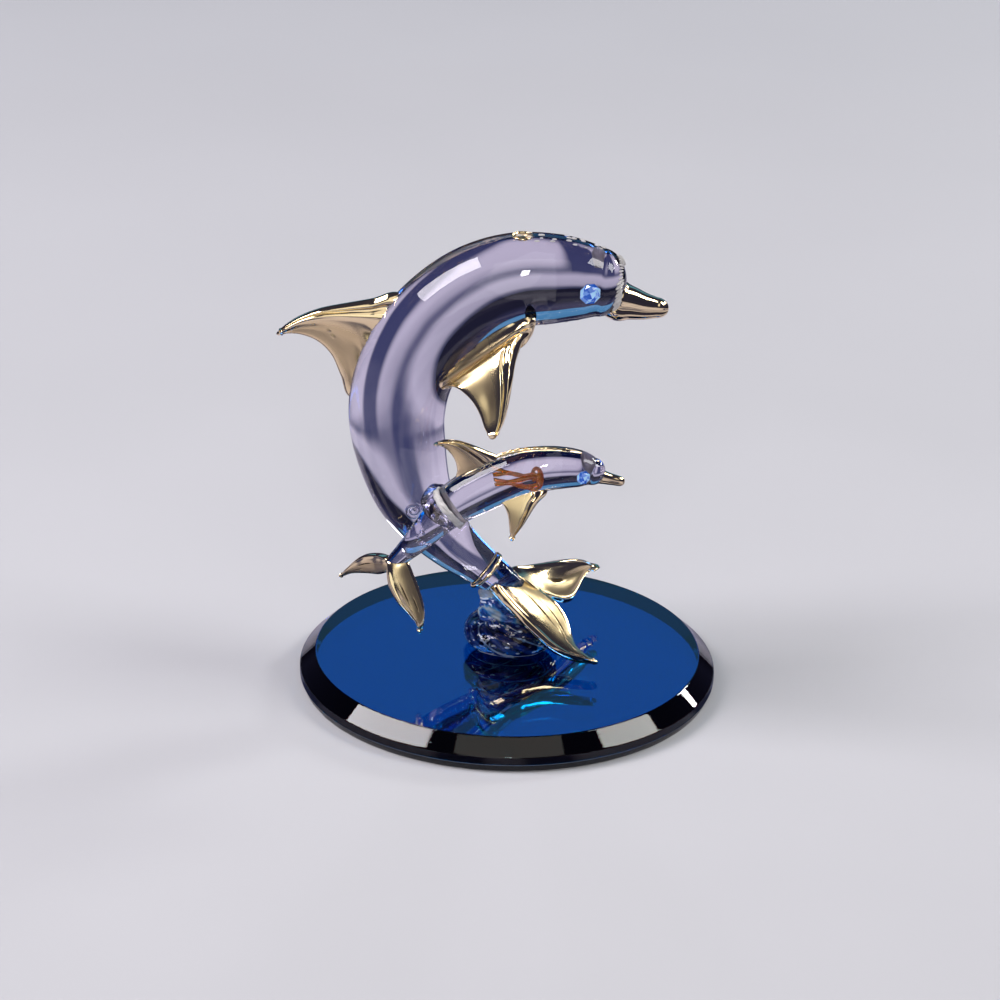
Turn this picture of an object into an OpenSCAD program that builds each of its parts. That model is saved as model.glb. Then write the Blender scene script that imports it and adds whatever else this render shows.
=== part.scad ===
// Lampworked glass dolphin and calf leaping from a swirled glass wave, on a bevelled blue mirror disc.
// Every piece is solid glass fused or glued to its neighbour, and nothing moves.
// +Z is up, +X runs towards the beaks, and the origin is the centre of the felt pad's underside.

/* [Mirror base] */
// Outer diameter of the mirror disc
disc_d = 89; // [84:1:110]
// Thickness of the disc's glass
glass_t = 5; // [4:0.5:8]
// Width of the ground bevel, seen from above
bevel_w = 3.4; // [2:0.2:5]
// Height that the bevel takes off the rim
bevel_h = 3.2; // [2:0.2:3.6]
// Thickness of the silver and its backing paint
silver_t = 0.15; // [0.1:0.05:0.3]
// Thickness of the felt pad
felt_t = 1.5; // [1:0.1:3]
// How far the felt's edge stands back from the disc's edge
felt_inset = 0.7; // [0.5:0.1:3]

/* [Placing] */
// How far the mother's mid-plane lies behind the disc's centre
mother_y = 5; // [4:0.5:6]
// How far the calf's mid-plane lies in front of the mother's
calf_gap = 13; // [12.6:0.1:13.4]

/* [Eyes and rings] */
// Diameter of the mother's rhinestone eyes
mother_eye_d = 4.6; // [4:0.1:5]
// Diameter of the calf's rhinestone eyes
calf_eye_d = 3; // [2.6:0.1:3.2]
// Outer diameter of the ring round the blowhole
blowhole_d = 5; // [4:0.1:5.6]
// Diameter of the fine glass thread round the mother's tail
band_thread_d = 0.8; // [0.6:0.1:1.2]

/* [Wave] */
// Outer radius of the glass coil that stands on the mirror
coil_r = 10.1; // [9.5:0.1:10.6]
// Radius of the rod that the coil is wound from
coil_rod_r = 2.8; // [2.6:0.1:3.2]
// Thickness of the adhesive under the coil
glue_t = 0.3; // [0.2:0.1:0.5]

/* [Hidden] */

mirror_z = felt_t + silver_t + glass_t;
clear_glass = [0.80, 0.80, 0.90, 0.7];
gold = [0.90, 0.72, 0.38];
blue_glass = [0.20, 0.45, 0.75];
rhinestone = [0.15, 0.40, 0.80];
body_sides = 24;
calf_sides = 18;
blade_sides = 14;
rod_sides = 12;
dome_turns = [20, 42, 64, 82];

// Mid-line of the mother: [x, height above the mirror, radius], from tail to forehead
mother_line = [
    [0.5, 11.8, 3.6], [-5.3, 16.7, 4.2], [-11.8, 22, 5.5], [-17, 28, 7], [-21, 35, 8.4],
    [-23.5, 44, 9.6], [-24.5, 52.5, 10.2], [-23.2, 61, 10.4], [-19.5, 69, 10.5], [-14, 75.5, 10.5],
    [-7.5, 80.4, 10.3], [0, 83.2, 10], [8, 83.8, 9.4], [13.5, 83.6, 8.4], [17.5, 83.2, 7.2]
];
// Mid-line of the calf's front half, from the waist to the forehead
calf_line = [
    [-12.8, 36.8, 4.4], [-9.5, 39.3, 4.8], [-4.6, 42.2, 5], [1, 44.9, 5], [6, 46.1, 4.8],
    [10.8, 46.5, 4.4], [14.6, 46.3, 3.8], [17, 45.8, 2.9]
];
// Mid-line of the calf's tail half, from the flukes to the waist
calf_tail_line = [
    [-24.7, 23.6, 1.6], [-22, 26.4, 2.2], [-18.6, 30.1, 3], [-15.5, 34, 3.8], [-12.8, 36.8, 4.3]
];

function mix(a, b, t) = a + (b - a) * t;
function unit(v) = v / norm(v);

// One span of a smooth curve that passes through its control points
function span_point(p0, p1, p2, p3, t) =
    0.5 * (2 * p1 + (p2 - p0) * t + (2 * p0 - 5 * p1 + 4 * p2 - p3) * t * t
        + (3 * p1 - p0 - 3 * p2 + p3) * t * t * t);

function smooth_curve(pts, steps) =
    let (last = len(pts) - 1) [
        for (i = [0 : last - 1], s = [0 : steps - 1])
            span_point(pts[max(i - 1, 0)], pts[i], pts[i + 1], pts[min(i + 2, last)], s / steps),
        pts[last]
    ];

// Direction of travel at one point of a list of points
function heading(pts, i) = unit(pts[min(i + 1, len(pts) - 1)] - pts[max(i - 1, 0)]);

// Stations that round off an end, for the given length beyond it
function dome(station, way, long) = [
    for (a = dome_turns) [station[0] + way * long * sin(a), station[1] * cos(a)]
];

function backwards(list) = [for (i = [len(list) - 1 : -1 : 0]) list[i]];

// A flat mid-line [x, h, r] as stations [[x, 0, h], r], rounded off at both ends
function stations(line, steps, tail_long, nose_long) =
    let (
        mid = [for (p = smooth_curve(line, steps)) [[p[0], 0, p[1]], p[2]]],
        places = [for (s = mid) s[0]],
        first_way = -heading(places, 0),
        last_way = heading(places, len(places) - 1)
    )
    concat(
        backwards(dome(mid[0], first_way, tail_long)), mid,
        dome(mid[len(mid) - 1], last_way, nose_long)
    );

// Round rings across a list of [place, radius] stations
function round_rings(list, side, sides) =
    let (places = [for (s = list) s[0]]) [
        for (i = [0 : len(list) - 1])
            let (t = heading(places, i), s = unit(side - t * (side * t)), up = cross(t, s)) [
                for (j = [0 : sides - 1])
                    let (a = 360 * j / sides)
                    list[i][0] + list[i][1] * (cos(a) * s + sin(a) * up)
            ]
    ];

// Rings of a fin: each runs from the leading edge round to the trailing edge, thickest near the front
function blade_rings(lead, trail, root_t, tip_t, dish) =
    let (
        front = smooth_curve(lead, 2),
        back = smooth_curve(trail, 2),
        mids = [for (i = [0 : len(front) - 1]) (front[i] + back[i]) / 2],
        last = len(front) - 1
    ) [
        for (i = [0 : last])
            let (
                chord = back[i] - front[i],
                up = unit(cross(heading(mids, i), chord)),
                thick = mix(root_t, tip_t, i / last)
            ) [
                for (j = [0 : blade_sides - 1])
                    let (a = 360 * j / blade_sides, u = (1 + cos(a)) / 2)
                    front[i] + chord * u + up * (sin(a) * thick * (0.62 - 0.35 * u)
                        + dish * norm(chord) * u * (1 - u))
            ]
    ];

function ring_middle(ring, i = 0, sum = [0, 0, 0]) =
    i == len(ring) ? sum / len(ring) : ring_middle(ring, i + 1, sum + ring[i]);

// Closed skin over a stack of rings, each end shut by a fan
module skin(rings) {
    sides = len(rings[0]);
    last = len(rings) - 1;
    hub = sides * (last + 1);
    polyhedron(
        points = concat([for (ring = rings) each ring], [ring_middle(rings[0]), ring_middle(rings[last])]),
        faces = concat(
            [for (j = [0 : sides - 1]) [hub, j, (j + 1) % sides]],
            [for (j = [0 : sides - 1]) [hub + 1, last * sides + (j + 1) % sides, last * sides + j]],
            [for (i = [0 : last - 1], j = [0 : sides - 1]) let (k = (j + 1) % sides)
                [i * sides + j, (i + 1) * sides + j, (i + 1) * sides + k, i * sides + k]]
        )
    );
}

// Glass worked against its neighbour: the first child less the others, as one skin
module worked_against() {
    resize([0, 0, 0]) difference() {
        children(0);
        children([1 : $children - 1]);
    }
}

module on_mother() translate([0, mother_y, mirror_z]) children();
module on_calf() translate([0, mother_y - calf_gap, mirror_z]) children();

// ---- Mirror base ----

module base_felt() {
    color("black") cylinder(h = felt_t, d = disc_d - 2 * felt_inset, $fn = 96);
}

module base_silvering() {
    color("silver") translate([0, 0, felt_t]) cylinder(h = silver_t, d = disc_d, $fn = 96);
}

module base_glass() {
    color(blue_glass) translate([0, 0, felt_t + silver_t])
        rotate_extrude($fn = 96) polygon([
            [0, 0], [disc_d / 2, 0], [disc_d / 2, glass_t - bevel_h],
            [disc_d / 2 - bevel_w, glass_t], [0, glass_t]
        ]);
}

// ---- Wave ----

wave_x = 0.6;
wave_y = -1.6;
coil_end_r = 4.6;
coil_turns = 1.7;
coil_level_share = 0.6;
coil_start_turn = 92;
coil_end_taper = 0.75;
coil_flat = 0.2;
coil_low = glue_t + coil_rod_r - coil_flat;
coil_rise = 2.4;
glue_r = 6;

// The coil's rod lies level for one turn, then climbs inwards over itself to its end
function coil_stations(from, to) = [
    for (i = [0 : 24])
        let (
            t = mix(from, to, i / 24),
            climb = max(0, (t - coil_level_share) / (1 - coil_level_share)),
            a = coil_start_turn - 360 * coil_turns * t,
            r = mix(coil_r - coil_rod_r, coil_end_r, climb)
        )
        [[wave_x + r * cos(a), wave_y + r * sin(a), coil_low + coil_rise * climb],
            coil_rod_r * mix(1, coil_end_taper, climb)]
];

// The neck is a lobed column, twisted as it was pulled up to the mother's tail
neck_line = [[0.3, 5], [2.5, 5.2], [4.5, 5.4], [6, 5.5], [7.4, 5.2], [9, 4.8], [11, 4.6], [13, 3.4]];
neck_twist = 26;
neck_lean = [-0.2, 0.13];
neck_lobes = 3;
neck_lobe_share = 0.09;
function neck_rings() = [
    for (p = smooth_curve(neck_line, 2)) [
        for (j = [0 : body_sides - 1])
            let (
                a = 360 * j / body_sides,
                r = p[1] * (1 + neck_lobe_share * cos(neck_lobes * (a - neck_twist * p[0])))
            )
            [wave_x + neck_lean[0] * p[0] + r * cos(a), wave_y + neck_lean[1] * p[0] + r * sin(a), p[0]]
    ]
];

module glue_pad() {
    color("white") on_mother() translate([wave_x, wave_y, 0]) cylinder(h = glue_t, r = glue_r, $fn = 48);
}

module neck_solid() on_mother() skin(neck_rings());

// All that lies below the top of the adhesive, to flatten the coil's underside
module under_coil() {
    on_mother() translate([wave_x - 30, wave_y - 30, glue_t - 20]) cube([60, 60, 20]);
}

module wave_coil() {
    color(blue_glass) worked_against() {
        on_mother() {
            skin(round_rings(coil_stations(0, 0.55), [0, 0, 1], rod_sides));
            skin(round_rings(coil_stations(0.5, 1), [0, 0, 1], rod_sides));
        }
        neck_solid();
        under_coil();
    }
}

module wave_neck() {
    color(blue_glass) worked_against() {
        neck_solid();
        mother_solid();
    }
}

// ---- Mother ----

across = [0, 1, 0];

module mother_solid() on_mother() skin(
    round_rings(stations(mother_line, steps = 3, tail_long = 2.4, nose_long = 5.6), across, body_sides)
);

module mother_body() {
    color(clear_glass) mother_solid();
}

band_at = [-4.9, 0, 16.3];
band_lean = 42;
band_r = 4.3;
module mother_tail_band() {
    color(gold) worked_against() {
        on_mother() translate(band_at) rotate([0, 90 + band_lean, 0])
            rotate_extrude($fn = 32) translate([band_r, 0]) circle(d = band_thread_d, $fn = 10);
        mother_solid();
    }
}

fluke_near_lead = [
    [-2.2, 1, 14.4], [-4.2, -3, 14], [-1.6, -5.5, 11.4], [2.4, -8, 8.3], [6, -10.6, 6],
    [9.4, -13, 4.2], [13.4, -15, 3.1], [17.1, -16, 2.8], [18.5, -16.3, 2.7]
];
fluke_near_trail = [
    [5.7, 3, 12.6], [7.3, 0, 11.6], [9.8, -1.5, 10.2], [11.8, -3, 8.3], [13, -5, 6.6],
    [13.8, -8, 5], [14.7, -11.5, 4.3], [17.1, -14.8, 3.6], [18.7, -15.7, 3.3]
];
fluke_far_lead = [
    [-1.3, 0, 14.4], [-0.3, 3, 15.1], [2.6, 5, 15], [5.7, 7.5, 14.6], [9.2, 10.5, 13.9],
    [12.3, 13.5, 13], [15.3, 16.5, 11.6], [17.7, 18.4, 9.7], [19.2, 19.4, 8.7]
];
fluke_far_trail = [
    [6.8, -1, 11.2], [8.8, 1, 9.5], [10.9, 3, 7.7], [12.5, 5, 6.6], [13.9, 7.5, 6.2],
    [14.7, 10, 6.7], [15.5, 13.2, 7.7], [17, 17.2, 8.5], [18.6, 19, 8.2]
];

module fluke_near_solid() on_mother() skin(
    blade_rings(fluke_near_lead, fluke_near_trail, root_t = 4, tip_t = 1.3, dish = -0.1)
);

module fluke_far_solid() on_mother() skin(
    blade_rings(fluke_far_lead, fluke_far_trail, root_t = 3.6, tip_t = 1.3, dish = -0.2)
);

module mother_fluke_near() {
    color(gold) worked_against() {
        fluke_near_solid();
        mother_solid();
        neck_solid();
    }
}

module mother_fluke_far() {
    color(gold) worked_against() {
        fluke_far_solid();
        mother_solid();
        neck_solid();
        fluke_near_solid();
    }
}

dorsal_lead = [
    [-19, 0, 78.2], [-25, 0, 80], [-29.7, 0, 78.5], [-35.2, 0, 77.3], [-40.4, 0, 76.1],
    [-44.7, 0, 74.3], [-47.8, 0, 72.2], [-49.5, 0, 70.5]
];
dorsal_trail = [
    [-27.6, 0, 57], [-34.4, 0, 56], [-36.4, 0, 60.8], [-38.4, 0, 65.5], [-41.3, 0, 68.5],
    [-44.7, 0, 69.9], [-47.2, 0, 70.1], [-49.1, 0, 69.8]
];

module mother_dorsal_fin() {
    color(gold) worked_against() {
        on_mother() skin(blade_rings(dorsal_lead, dorsal_trail, root_t = 4.6, tip_t = 1.4, dish = 0));
        mother_solid();
    }
}

pectoral_lead = [
    [2.2, -6, 82.2], [4.3, -8, 77], [1.6, -9.5, 73.2], [0.4, -11.5, 70], [-0.2, -13.5, 66.2],
    [-0.8, -15, 62.2], [-1.8, -16.5, 58], [-3.3, -17.3, 55.2]
];
pectoral_trail = [
    [-18.8, -5, 68.6], [-15.3, -8, 62], [-13.2, -9.5, 62.9], [-11.2, -11.5, 63], [-8.7, -13.5, 61.5],
    [-6.9, -15, 59], [-5.8, -16.5, 56.5], [-4.9, -17.3, 55.2]
];

module mother_pectoral() {
    worked_against() {
        on_mother() skin(
            blade_rings(pectoral_lead, pectoral_trail, root_t = 3.4, tip_t = 1.6, dish = 0.06)
        );
        mother_solid();
    }
}

module mother_pectoral_near() {
    color(gold) mother_pectoral();
}

module mother_pectoral_far() {
    color(gold) translate([0, 2 * mother_y, 0]) mirror([0, 1, 0]) mother_pectoral();
}

beak_line = [[18.5, 80.2, 3.4], [21.6, 79, 4.1], [24.1, 78.5, 3.4], [27, 77.9, 2.7], [29.7, 77.7, 2.1]];
module mother_beak() {
    color(gold) worked_against() {
        on_mother() skin(
            round_rings(stations(beak_line, steps = 3, tail_long = 1, nose_long = 2.4), across, rod_sides)
        );
        mother_solid();
    }
}

blowhole_at = [1.2, 0, 93.3];
blowhole_wire_d = 1.2;
module mother_blowhole_ring() {
    color(gold) worked_against() {
        on_mother() translate(blowhole_at)
            rotate_extrude($fn = 32) translate([(blowhole_d - blowhole_wire_d) / 2, 0])
                circle(d = blowhole_wire_d, $fn = 12);
        mother_solid();
    }
}

// Rhinestone with its table towards -Y: a low crown over a sunken girdle
stone_facets = 8;
crown_share = 0.22;
table_share = 0.55;
girdle_share = 0.2;
module rhinestone(d) {
    rotate([90, 0, 0]) {
        cylinder(h = crown_share * d, d1 = d, d2 = table_share * d, $fn = stone_facets);
        translate([0, 0, -girdle_share * d]) cylinder(h = girdle_share * d, d = d, $fn = stone_facets);
    }
}

mother_eye_at = [15.4, -7.6, 83.6];
mother_eye_turn = 14;
module mother_eye() {
    worked_against() {
        on_mother() translate(mother_eye_at) rotate([0, 0, mother_eye_turn]) rhinestone(mother_eye_d);
        mother_solid();
    }
}

module mother_eye_near() {
    color(rhinestone) mother_eye();
}

module mother_eye_far() {
    color(rhinestone) translate([0, 2 * mother_y, 0]) mirror([0, 1, 0]) mother_eye();
}

// ---- Weld between mother and calf ----

// Mid-line of the weld: [x, y from the mother's mid-plane, height, radius]
weld_line = [[-17, -5, 35.6, 3.5], [-15.3, -8, 36, 3.2], [-14.8, -10, 35.9, 3.1]];
weld_stations = [for (p = smooth_curve(weld_line, 3)) [[p[0], p[1], p[2]], p[3]]];
module weld_bead() {
    color(clear_glass) worked_against() {
        on_mother() skin(round_rings(weld_stations, [1, 0, 0], rod_sides));
        mother_solid();
        calf_front_solid();
        calf_tail_solid();
        collar_solid();
    }
}

// ---- Calf ----

// The two halves meet flat inside the collar, so their ends there are barely domed
flat_end = 0.01;

module calf_front_solid() on_calf() skin(
    round_rings(stations(calf_line, steps = 3, tail_long = flat_end, nose_long = 2.6), across, calf_sides)
);

module calf_tail_solid() on_calf() skin(round_rings(
    stations(calf_tail_line, steps = 3, tail_long = 1.2, nose_long = flat_end), across, calf_sides
));

waist = [-12.8, 0, 36.8];
waist_lean = 53;
collar_r = 4;
collar_thread_r = 1.1;
module collar_solid() {
    on_calf() translate(waist) rotate([0, waist_lean, 0])
        rotate_extrude($fn = 36) translate([collar_r, 0]) circle(r = collar_thread_r, $fn = 16);
}

module calf_body() {
    color(clear_glass) worked_against() {
        calf_front_solid();
        collar_solid();
    }
}

module calf_tail_stock() {
    color(clear_glass) worked_against() {
        calf_tail_solid();
        collar_solid();
        calf_front_solid();
    }
}

module calf_collar() {
    color(clear_glass) collar_solid();
}

// The flukes stand in their own frame, whose origin is the root of the calf's tail
fluke_back_lead = [
    [1, -1.2, 0.8], [-1, 1, 1.2], [-3, 4, 0.4], [-5.5, 6.5, -1], [-7.6, 8, -2.8],
    [-9.4, 9.6, -5.2], [-10.9, 10.8, -7.5], [-11.3, 11.1, -8.2]
];
fluke_back_trail = [
    [0.2, -0.2, -1.8], [-1.4, 1, -2.8], [-3, 3.6, -4.4], [-5, 6, -5.4], [-7, 8, -6.3],
    [-9, 9.6, -7.2], [-10.6, 10.6, -8.3], [-11.1, 11, -8.6]
];
fluke_down_lead = [
    [-1, 0.5, 0.4], [-1.2, -1, -1.4], [-0.9, -2, -3.8], [0.2, -2.8, -6.2], [1.6, -3.4, -8.2],
    [3.4, -4, -10], [5.2, -4.5, -12], [5.7, -4.5, -13.6]
];
fluke_down_trail = [
    [1, 0, 0.6], [3.2, -1, 0.8], [4.6, -1.8, -1.8], [5.8, -2.6, -4.8], [6.6, -3.2, -7.2],
    [7, -3.8, -9.6], [6.9, -4.4, -12], [6.4, -4.5, -13.7]
];
calf_root = [-24.7, 0, 23.6];

module fluke_back_solid() on_calf() translate(calf_root) skin(
    blade_rings(fluke_back_lead, fluke_back_trail, root_t = 2.6, tip_t = 1, dish = 0.1)
);

module fluke_down_solid() on_calf() translate(calf_root) skin(
    blade_rings(fluke_down_lead, fluke_down_trail, root_t = 2.6, tip_t = 1, dish = 0.1)
);

module calf_fluke_back() {
    color(gold) worked_against() {
        fluke_back_solid();
        calf_tail_solid();
    }
}

module calf_fluke_down() {
    color(gold) worked_against() {
        fluke_down_solid();
        calf_tail_solid();
        fluke_back_solid();
    }
}

calf_dorsal_lead = [
    [0.2, 0, 46.5], [-3.2, 0, 49], [-5.8, 0, 50.2], [-8.7, 0, 51.4], [-11.6, 0, 52.2],
    [-14.1, 0, 52.2], [-15.7, 0, 51.5]
];
calf_dorsal_trail = [
    [-7.5, 0, 41], [-11.3, 0, 43.4], [-11.4, 0, 45.5], [-11.9, 0, 47.6], [-13.1, 0, 49.5],
    [-14.5, 0, 50.6], [-15.8, 0, 50.9]
];
module calf_dorsal_fin() {
    color(gold) worked_against() {
        on_calf() skin(blade_rings(calf_dorsal_lead, calf_dorsal_trail, root_t = 2.4, tip_t = 1, dish = 0));
        calf_front_solid();
        calf_tail_solid();
        collar_solid();
    }
}

calf_pectoral_lead = [
    [5.5, -1, 44.2], [7.6, -3, 42.3], [5.6, -3.8, 39.9], [4, -4.4, 37.4], [2.6, -4.8, 35],
    [1.2, -5, 33.1], [0.8, -5, 32.3]
];
calf_pectoral_trail = [
    [-4.2, -1, 43], [-3, -3, 40.3], [-1.5, -3.8, 39.2], [-0.6, -4.4, 37.3], [-0.3, -4.8, 35.4],
    [-0.1, -5, 33.5], [0, -5, 32.3]
];
module calf_pectoral() {
    worked_against() {
        on_calf() skin(
            blade_rings(calf_pectoral_lead, calf_pectoral_trail, root_t = 2, tip_t = 1, dish = 0.12)
        );
        calf_front_solid();
    }
}

module calf_pectoral_near() {
    color(gold) calf_pectoral();
}

module calf_pectoral_far() {
    color(gold) translate([0, 2 * (mother_y - calf_gap), 0]) mirror([0, 1, 0]) calf_pectoral();
}

calf_beak_line = [[16.6, 45.2, 2], [18.6, 44.6, 1.5], [20.6, 44.1, 1.2], [22.5, 43.7, 1.05]];
module calf_beak() {
    color(gold) worked_against() {
        on_calf() skin(round_rings(
            stations(calf_beak_line, steps = 3, tail_long = 0.6, nose_long = 1.3), across, rod_sides
        ));
        calf_front_solid();
    }
}

calf_eye_at = [15, -3.55, 45.9];
calf_eye_turn = 20;
module calf_eye() {
    worked_against() {
        on_calf() translate(calf_eye_at) rotate([0, 0, calf_eye_turn]) rhinestone(calf_eye_d);
        calf_front_solid();
    }
}

module calf_eye_near() {
    color(rhinestone) calf_eye();
}

module calf_eye_far() {
    color(rhinestone) translate([0, 2 * (mother_y - calf_gap), 0]) mirror([0, 1, 0]) calf_eye();
}

base_felt();
base_silvering();
base_glass();
glue_pad();
wave_coil();
wave_neck();
mother_body();
mother_tail_band();
mother_fluke_near();
mother_fluke_far();
mother_dorsal_fin();
mother_pectoral_near();
mother_pectoral_far();
mother_beak();
mother_blowhole_ring();
mother_eye_near();
mother_eye_far();
weld_bead();
calf_body();
calf_tail_stock();
calf_collar();
calf_fluke_back();
calf_fluke_down();
calf_dorsal_fin();
calf_pectoral_near();
calf_pectoral_far();
calf_beak();
calf_eye_near();
calf_eye_far();
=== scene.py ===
"""Lampworked glass dolphin and calf, leaping from a swirled glass wave on a round bevelled blue mirror.

The sections follow the object from the shelf up: the mirror and its pad, the wave, the mother and her fins,
the calf and its fins, then the studio. Sizes are millimetres from the middle of the disc and the mirror's
face, or from the dolphin's own mid-plane, and become metres where a mesh is made.
"""

from math import cos, exp, radians, sin, sqrt, tau
import random

import bpy
from mathutils import Matrix, Vector


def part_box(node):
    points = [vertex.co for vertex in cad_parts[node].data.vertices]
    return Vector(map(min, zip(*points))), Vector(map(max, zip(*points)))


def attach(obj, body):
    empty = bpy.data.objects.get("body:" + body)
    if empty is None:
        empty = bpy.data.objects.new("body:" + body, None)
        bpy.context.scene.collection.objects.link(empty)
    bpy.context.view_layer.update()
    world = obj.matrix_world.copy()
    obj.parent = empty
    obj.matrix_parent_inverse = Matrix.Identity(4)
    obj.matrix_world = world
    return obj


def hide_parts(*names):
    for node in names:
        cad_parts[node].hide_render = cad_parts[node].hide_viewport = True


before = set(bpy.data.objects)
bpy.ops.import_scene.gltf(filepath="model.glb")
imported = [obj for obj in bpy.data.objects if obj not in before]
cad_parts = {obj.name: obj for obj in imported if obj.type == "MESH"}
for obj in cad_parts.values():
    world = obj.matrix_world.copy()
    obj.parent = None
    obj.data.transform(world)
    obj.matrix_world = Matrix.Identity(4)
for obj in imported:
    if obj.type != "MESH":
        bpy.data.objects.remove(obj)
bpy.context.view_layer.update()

# ---- Felt pad ----
# A disc of black wool felt, die-cut and glued under the mirror so that it doesn't scratch a shelf.
# Its cut edge is slightly furry, and its pile lies every way.

MM = 0.001


def sign(operation, swapped=False):
    """What an arithmetic sign between wires does: it adds a Math node to their tree."""
    return lambda wire, other: wire.board.math(operation, *((other, wire) if swapped else (wire, other)))


class Wire:
    """A socket that can be used in a sum."""

    __add__, __radd__ = sign("ADD"), sign("ADD", True)
    __sub__, __rsub__ = sign("SUBTRACT"), sign("SUBTRACT", True)
    __mul__, __rmul__ = sign("MULTIPLY"), sign("MULTIPLY", True)
    __truediv__ = sign("DIVIDE")
    __lt__ = sign("LESS_THAN")

    def __init__(self, board, socket):
        self.board = board
        self.socket = socket


class Board:
    """A node tree that is wired up one node at a time."""

    def __init__(self, tree):
        self.tree = tree

    def node(self, kind, settings=None, sockets=None, output=0):
        """Adds a node: its settings first, then the values or wires of its sockets. Returns one output."""
        made = self.tree.nodes.new(kind)
        for name, value in (settings or {}).items():
            if name == "stops":
                ramp = made.color_ramp.elements
                while len(ramp) < len(value):
                    ramp.new(1.0)
                for stop, (place, colour) in zip(ramp, value):
                    stop.position = place
                    stop.color = (*colour, 1)
            else:
                setattr(made, name, value)
        for name, value in (sockets or {}).items():
            self.feed(made.inputs[name], value)
        return Wire(self, made.outputs[output])

    def feed(self, socket, value):
        if isinstance(value, Wire):
            self.tree.links.new(value.socket, socket)
        else:
            socket.default_value = value

    def math(self, operation, *values):
        return self.node("ShaderNodeMath", {"operation": operation}, dict(enumerate(values)))

    def scaled(self, vector, size):
        return self.node("ShaderNodeVectorMath", {"operation": "SCALE"}, {0: vector, "Scale": size})

    def axis(self, vector, letter):
        return self.node("ShaderNodeSeparateXYZ", {}, {0: vector}, letter)

    def ramp(self, share, stops):
        """Colours in a row, from share 0 to share 1."""
        return self.node("ShaderNodeValToRGB", {"stops": stops}, {0: share})


class Finish(Board):
    """A material with one Principled shader. Constants are set on the shader's own sockets."""

    def __init__(self, name, **constants):
        self.material = bpy.data.materials.new(name)
        self.material.use_nodes = True
        super().__init__(self.material.node_tree)
        self.shader = self.tree.nodes["Principled BSDF"]
        for socket, value in constants.items():
            self.shader.inputs[socket.replace("_", " ")].default_value = value
        self.place = self.node("ShaderNodeTexCoord", output="Object")

    def vary(self, socket, wire):
        self.feed(self.shader.inputs[socket], wire)

    def mark(self, label):
        """Number that the mesh carries under that name."""
        return self.node("ShaderNodeAttribute", {"attribute_name": label}, {}, "Fac")

    def cloud(self, scale, detail=2.0, place=None):
        """Soft noise from 0 to 1, with so many lumps to the metre."""
        sockets = {"Vector": place or self.place, "Scale": scale, "Detail": detail}
        return self.node("ShaderNodeTexNoise", {}, sockets, "Fac")

    def blend(self, share, first, second):
        """One colour going over into another."""
        return self.node("ShaderNodeMix", {"data_type": "RGBA"}, {0: share, 6: first, 7: second}, 2)

    def relief(self, height, depth):
        """Bump of that depth, in metres."""
        bump = {"Height": height, "Distance": depth, "Strength": 1.0}
        self.vary("Normal", self.node("ShaderNodeBump", {}, bump, "Normal"))


def cast(name, points, faces, finish):
    """Smooth mesh in metres with its faces outwards."""
    mesh = bpy.data.meshes.new(name)
    mesh.from_pydata(points, [], faces)
    volume = 0.0
    for face in faces:
        for j in range(1, len(face) - 1):
            a, b, c = points[face[0]], points[face[j]], points[face[j + 1]]
            volume += a.dot(b.cross(c))
    if volume < 0:
        mesh.flip_normals()
    mesh.shade_smooth()
    mesh.materials.append(finish.material)
    piece = bpy.data.objects.new(name, mesh)
    bpy.context.scene.collection.objects.link(piece)
    return piece


def close_skin(name, rings, start, end, finish):
    """Skin over a stack of rings, gathered to a point at each end."""
    around = len(rings[0])
    points = [p for ring in rings for p in ring] + [start, end]
    hub = len(points) - 2
    last = (len(rings) - 1) * around
    faces = []
    for j in range(around):
        k = (j + 1) % around
        faces.append((hub, k, j))
        faces.append((hub + 1, last + j, last + k))
        for i in range(0, last, around):
            faces.append((i + j, i + k, i + around + k, i + around + j))
    return cast(name, points, faces, finish)


def soften(outline, radius):
    """Outline with rounded corners, and a point just off each one so that the flats shade flat."""
    drawn_line = [Vector(outline[0])]
    for before, corner, after in zip(outline, outline[1:], outline[2:]):
        c = Vector(corner)
        back = c + (Vector(before) - c).normalized() * radius
        on = c + (Vector(after) - c).normalized() * radius
        drawn_line.append(back + (back - c) * 0.6)
        for step in range(5):
            t = step / 4
            drawn_line.append(back.lerp(c, t).lerp(c.lerp(on, t), t))
        drawn_line.append(on + (on - c) * 0.6)
    return drawn_line + [Vector(outline[-1])]


def turns(count):
    """Angles in equal steps round a ring."""
    return [tau * j / count for j in range(count)]


def turned(name, outline, finish, around=192, wander=0.0, seed=0):
    """Disc or ring turned about the disc's axis from (radius, height) pairs, axis to axis, in metres."""
    chance = random.Random(seed)
    waves = [(chance.randint(3, 60), chance.random() * tau) for _ in range(12)]
    rings = []
    for r, z in outline[1:-1]:
        ring = []
        for a in turns(around):
            out = r + wander * sum(sin(n * a + phase) for n, phase in waves) / len(waves)
            ring.append(Vector((out * cos(a), out * sin(a), z)))
        rings.append(ring)
    return close_skin(name, rings, Vector((0, 0, outline[0][1])), Vector((0, 0, outline[-1][1])), finish)


def disc(name, r, low, high, rounding, finish, **more):
    """Flat round disc with softened edges."""
    return turned(name, soften([(0, low), (r, low), (r, high), (0, high)], rounding), finish, **more)


def fit(piece, slot, *nodes):
    """Joins a finished piece to the frame, in place of its plain CAD nodes if it has any."""
    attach(piece, "root")
    if nodes:
        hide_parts(*nodes)


black_felt = Finish("black_felt", Roughness=0.95, Sheen_Weight=0.4, Sheen_Roughness=0.5)
pile = black_felt.cloud(4200, 4)
black_felt.vary("Base Color", black_felt.blend(pile, (0.006, 0.006, 0.008, 1), (0.035, 0.035, 0.042, 1)))
black_felt.relief(pile, 0.15 * MM)

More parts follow.
